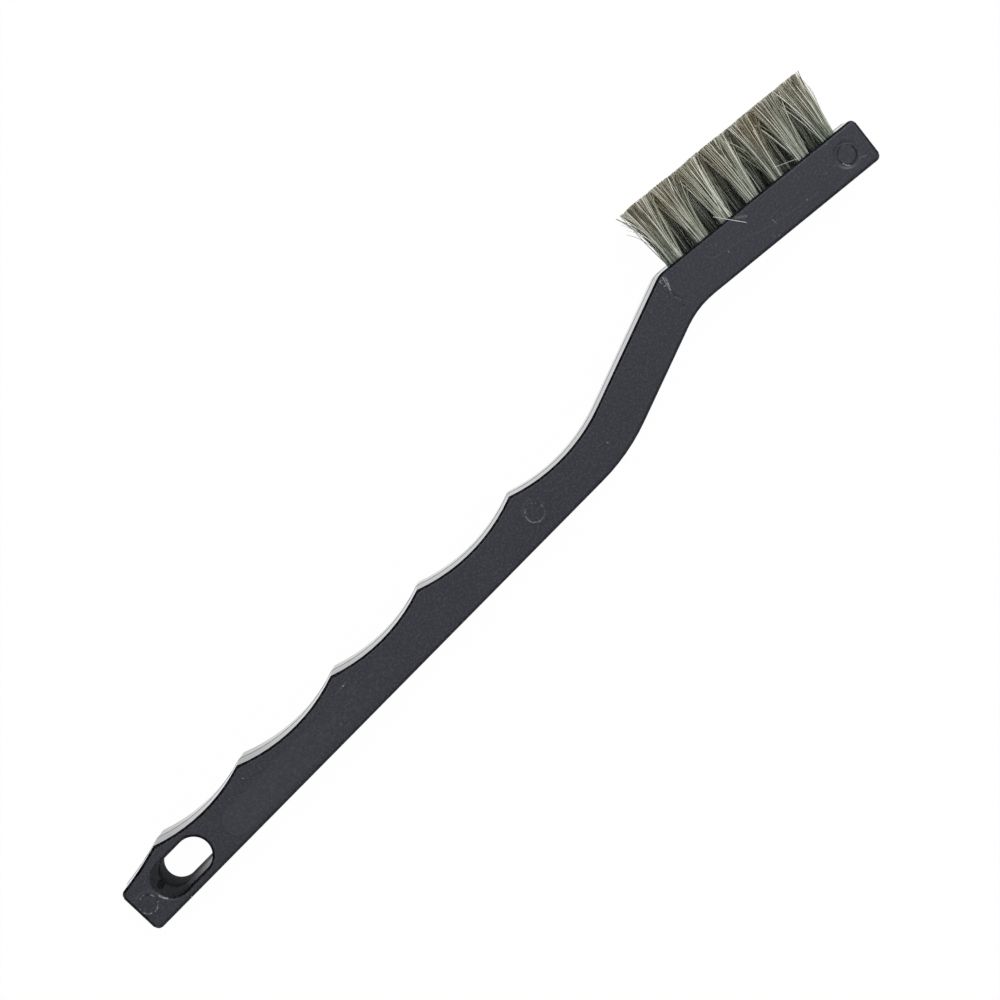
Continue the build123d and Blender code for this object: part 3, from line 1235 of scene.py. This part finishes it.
    def _shelter(self, root: np.ndarray) -> np.ndarray:
        """Tells how well each ring of each hair is hidden from the light by the hair round it, as a painted
        shade that darkens its colour.

        A root's depth is its least distance to the block's four sides. The painted shade rises with the depth
        and falls toward the tips, both by a smooth step.

        Args:
            root: The hairs' places in the hole, on a disc of radius 1.

        Returns:
            The shelter from 0 to 1, as (hair, step).
        """
        mouth = self.plan.mouth(self.row, self.column)
        middle = np.array([*self.plan.block_middle, 0.0])
        along = (mouth - middle) @ self.plan.along + root[:, 0] * self.root_spread
        across = mouth[2] + root[:, 1] * self.root_spread
        half_length = self.plan.column_pitch * (max(self.plan.counts) - 1) / 2 + self.plan.hole_radius
        beside = BAR_MIDDLE - np.abs(across - BAR_MIDDLE)
        depth = np.minimum(beside, half_length + self.shelter_margin - np.abs(along))
        fall = self.shelter_tip - self.shelter_base
        by_height = self.shelter_base + fall * smooth_step(self.shares, *self.shelter_height)
        return smooth_step(depth, *self.shelter_depth)[:, None] * by_height[None, :]

    def _stray_paths(self) -> np.ndarray:
        """Gives the loose hairs' lines, as (hair, step, along/across/up).

        A line is the curve of second degree that passes through the start, the middle and the end: for the
        share t of the way their weights are (1 - t)(1 - 2 t), 4 t (1 - t) and t (2 t - 1).
        """
        share = self.shares
        weights = np.stack([(1 - share) * (1 - 2 * share), 4 * share * (1 - share), share * (2 * share - 1)])
        places = np.array([(stray.start, stray.middle, stray.end) for stray in self.strays]).reshape(-1, 3, 3)
        lines = np.einsum("ks,nkc->nsc", weights, places)
        return (lines - self.plan.mouth(self.row, self.column)) @ self._axes().T

    def _axes(self) -> np.ndarray:
        """Gives the directions along, across and up, one in each row."""
        return np.stack([self.plan.along, np.array([0.0, 0.0, 1.0]), self.plan.up])

    def _tubes(
        self, paths: np.ndarray, radius: np.ndarray, chance: np.random.Generator
    ) -> tuple[np.ndarray, np.ndarray, np.ndarray, np.ndarray]:
        """Wraps each line in a level ring at each step, smaller toward the tip, and closes both ends.

        Args:
            paths: The lines, as (hair, step, coordinate).
            radius: Each hair's radius at the root.
            chance: The tuft's source of chance.

        Returns:
            The points, the side quads, the end faces and each point's share of the way to the tip.
        """
        count, rings, _ = paths.shape
        turn = np.arange(self.sides) * 2 * math.pi / self.sides
        size = radius[:, None] * (1.0 - self.tip_taper * self.shares)[None, :]
        start = chance.uniform(0, math.pi, count)
        angle = turn[None, None, :] + start[:, None, None]
        offset = np.stack([np.cos(angle), np.sin(angle), np.zeros_like(angle)], axis=3)
        points = paths[:, :, None, :] + offset * size[:, :, None, None]
        grid = np.arange(count * rings * self.sides).reshape(count, rings, self.sides)
        caps = np.vstack([grid[:, 0, ::-1], grid[:, -1, :]])
        reach = np.broadcast_to(self.shares[None, :, None], grid.shape)
        return points.reshape(-1, 3), quad_faces(grid, closed=True), caps, reach.reshape(-1)

    def _root(self) -> tuple[np.ndarray, np.ndarray]:
        """Gives the folded root: a closed turned form from its rounded floor to its flat top."""
        inner = self.plan.hole_radius - self.root_gap
        profile = np.array(
            [
                [0.0, self.root_floor],
                [inner * self.root_flat_share, self.root_floor],
                [inner, self.root_floor + self.root_round],
                [inner, self.root_top],
                [0.0, self.root_top],
            ]
        )
        turn = np.arange(self.root_turns) * 2 * math.pi / self.root_turns
        rings = np.stack(
            [
                profile[:, None, 0] * np.cos(turn),
                profile[:, None, 0] * np.sin(turn),
                np.repeat(profile[:, 1:], self.root_turns, axis=1),
            ],
            axis=2,
        )
        grid = np.arange(rings[..., 0].size).reshape(rings.shape[:2])
        return rings.reshape(-1, 3), quad_faces(grid, closed=True)

    def _placed(self, points: np.ndarray) -> np.ndarray:
        """Turns along, across and up into the frame's metres, at this tuft's hole."""
        return (self.plan.mouth(self.row, self.column) + points @ self._axes()) * MM


@dataclass
class Head:
    """The head's hair and wire: three rows of tufts, and an anchor under each."""

    plan: HeadPlan = field(default_factory=HeadPlan)
    hair: NaturalHair = field(default_factory=NaturalHair)
    wire: DrawnWire = field(default_factory=DrawnWire)
    strays: tuple[Stray, ...] = (
        Stray(Row.UPPER, 2, (144.6, 13.4, 10.9), (146.68, 10.34, 11.36), (147.88, 8.67, 11.3), 1.0, 0.1),
        Stray(Row.UPPER, 4, (157.35, 12.07, 11.9), (159.43, 11.11, 11.7), (161.8, 10.0, 11.2), 1.0, 0.13),
        Stray(Row.MIDDLE, 5, (168.5, 9.4, 6.0), (172.2, 15.2, 6.0), (172.0, 19.6, 6.2)),
        Stray(Row.UPPER, 6, (169.3, 9.0, 7.6), (171.5, 14.12, 7.0), (172.5, 18.6, 6.8)),
        Stray(Row.LOWER, 6, (169.2, 9.0, 4.0), (171.3, 13.0, 4.6), (171.0, 20.0, 5.0)),
        Stray(Row.UPPER, 0, (134.6, 12.8, 8.6), (134.4, 18.6, 8.2), (132.9, 23.6, 7.8)),
        Stray(Row.UPPER, 0, (134.4, 12.8, 9.0), (134.5, 17.8, 9.4), (132.7, 22.3, 9.9)),
        Stray(Row.UPPER, 0, (134.5, 12.8, 9.3), (134.6, 19.2, 9.8), (133.5, 24.3, 9.5)),
        Stray(Row.LOWER, 0, (134.5, 12.8, 2.6), (134.3, 17.9, 3.4), (132.7, 21.6, 4.4)),
        Stray(Row.LOWER, 0, (134.5, 12.8, 3.0), (134.4, 18.9, 4.2), (133.5, 24.1, 5.0)),
    )

    def build(self, frame: dict) -> None:
        """Makes every tuft and dresses every anchor.
        """
        hair = self.hair.build()
        for row in Row:
            for column in range(self.plan.count(row)):
                strays = tuple(stray for stray in self.strays if (stray.row, stray.column) == (row, column))
                Tuft(self.plan, row, column, strays).build(hair)
            log.info("row %s: %d tufts", row.value, self.plan.count(row))
        wire = self.wire.build()
        anchors = [node for name, node in frame["nodes"].items() if name.startswith("anchor_")]
        for anchor in anchors:
            anchor.data.materials.clear()
            anchor.data.materials.append(wire)
        log.info("anchors: %d", len(anchors))


@dataclass(frozen=True)
class SoftBox:
    """A lamp with a broad flat face that looks at the brush, placed by heading and height in degrees."""

    name: str
    heading: float
    elevation: float
    distance: float
    size: Point
    level: float

    def build(self, middle: Vector) -> None:
        """Hangs the lamp.

        Args:
            middle: The point that the lamp looks at.
        """
        turn, rise = math.radians(self.heading), math.radians(self.elevation)
        level = math.cos(rise)
        away = Vector((level * math.cos(turn), level * math.sin(turn), math.sin(rise)))
        light = bpy.data.lights.new(self.name, "AREA")
        light.shape = "RECTANGLE"
        light.size, light.size_y = self.size
        light.energy = self.level * math.pi * self.size[0] * self.size[1]
        lamp = bpy.data.objects.new(self.name, light)
        lamp.location = middle + away * self.distance
        lamp.rotation_euler = away.to_track_quat("Z", "Y").to_euler()
        bpy.context.scene.collection.objects.link(lamp)


@dataclass(frozen=True)
class StudioCard:
    """A curved card round the table that only reflections show, as a patch of a sphere, in degrees."""

    name: str
    headings: Point
    elevations: Point
    brightness: float
    radius: float = 2.2
    columns: int = 25
    rows: int = 9

    def build(self) -> None:
        """Makes the card: each heading h and elevation e gives (cos h cos e, sin h cos e, sin e)."""
        turn = np.radians(np.linspace(*self.headings, self.columns))
        rise = np.radians(np.linspace(*self.elevations, self.rows))
        turn, rise = np.meshgrid(turn, rise, indexing="ij")
        points = np.stack([np.cos(turn) * np.cos(rise), np.sin(turn) * np.cos(rise), np.sin(rise)], axis=2)
        faces = quad_faces(np.arange(turn.size).reshape(turn.shape))
        mesh = bpy.data.meshes.new(self.name)
        mesh.from_pydata(points.reshape(-1, 3) * self.radius, [], faces.tolist())
        material, graph = new_material(self.name)
        shade = (self.brightness, self.brightness, self.brightness, 1.0)
        graph.finish(graph.node("ShaderNodeEmission", values={"Color": shade, "Strength": 1.0}))
        mesh.materials.append(material)
        card = new_object(self.name, mesh)
        card.visible_camera = False
        card.visible_diffuse = False
        card.visible_transmission = False
        card.visible_shadow = False


@dataclass
class Studio:
    """The floor, the lamps, the cards and the camera, in metres."""

    floor_size: float = 8.0
    ambient: float = 0.62
    lamps: tuple[SoftBox, ...] = (
        SoftBox("key", 25.0, 56.0, 1.1, (0.42, 0.34), 7.0),
        SoftBox("side", 100.0, 70.0, 1.2, (0.5, 0.3), 1.3),
    )
    cards: tuple[StudioCard, ...] = (
        StudioCard("dark_card", (62.0, 150.0), (2.0, 74.0), 0.01),
        StudioCard("edge_card", (55.0, 150.0), (74.5, 84.0), 3.5),
        StudioCard("far_edge_card", (151.0, 178.0), (66.0, 76.0), 3.0),
        StudioCard("heel_card", (150.0, 235.0), (2.0, 56.0), 0.02),
        StudioCard("grey_card", (235.0, 330.0), (2.0, 60.0), 0.5),
        StudioCard("end_card", (-30.0, 62.0), (2.0, 38.0), 0.25),
        StudioCard("bright_card", (-65.0, 20.0), (70.0, 86.5), 1.25),
    )
    camera_place: Place = (0.09885, 0.03048, 0.33432)
    camera_target: Place = (0.08461, 0.0053, 0.0111)
    picture_up: Place = (0.712, 0.6969, -0.0857)
    focal_px: float = 1885.0
    picture_px: float = 1000.0
    half_pixel: float = 0.5
    sensor: float = 36.0
    clip_start: float = 0.01
    white: StudioWhite = field(default_factory=StudioWhite)

    def build(self) -> None:
        """Makes the whole studio."""
        self._floor()
        self._world()
        for card in self.cards:
            card.build()
        for lamp in self.lamps:
            lamp.build(Vector(self.camera_target))
        self._camera()
        bpy.context.scene.view_settings.view_transform = "Standard"
        log.info("studio: %d lamps, %d cards", len(self.lamps), len(self.cards))

    def _floor(self) -> None:
        """Lays the white paper under the brush."""
        corners = np.array([(-1, -1, 0), (1, -1, 0), (1, 1, 0), (-1, 1, 0)]) * self.floor_size / 2
        mesh = bpy.data.meshes.new("floor")
        mesh.from_pydata(corners, [], [(0, 1, 2, 3)])
        mesh.materials.append(self.white.build())
        new_object("floor", mesh)

    def _world(self) -> None:
        """Lights the room softly, and shows it white where the floor ends."""
        world = bpy.data.worlds.new("studio")
        bpy.context.scene.world = world
        world.use_nodes = True
        graph = Graph(world.node_tree)
        white = (*self.white.white, 1.0)
        soft = graph.node("ShaderNodeBackground", values={"Color": white, "Strength": self.ambient})
        plain = graph.node("ShaderNodeBackground", values={"Color": white, "Strength": 1.0})
        seen = self.white.plain_share(graph, self.white.sky_shares)
        mixed = graph.node("ShaderNodeMixShader", values={0: seen, 1: soft.outputs[0], 2: plain.outputs[0]})
        graph.finish(mixed, "World")

    def _camera(self) -> None:
        """Sets the camera where the photograph was taken from."""
        data = bpy.data.cameras.new("camera")
        data.sensor_width = self.sensor
        data.lens = self.focal_px / self.picture_px * self.sensor
        data.shift_x = -self.half_pixel / self.picture_px
        data.shift_y = self.half_pixel / self.picture_px
        data.clip_start = self.clip_start
        camera = bpy.data.objects.new("camera", data)
        backward = (Vector(self.camera_place) - Vector(self.camera_target)).normalized()
        right = Vector(self.picture_up).cross(backward).normalized()
        up = backward.cross(right)
        turned = Matrix((right, up, backward)).transposed()
        camera.matrix_world = Matrix.Translation(self.camera_place) @ turned.to_4x4()
        bpy.context.scene.collection.objects.link(camera)
        bpy.context.scene.camera = camera


def main() -> None:
    """Loads the frame, and builds the brush and the studio."""
    logging.basicConfig(level=logging.INFO, format="%(message)s")
    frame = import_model()
    Handle().build(frame)
    Head().build(frame)
    Studio().build()


if __name__ == "__main__":
    main()
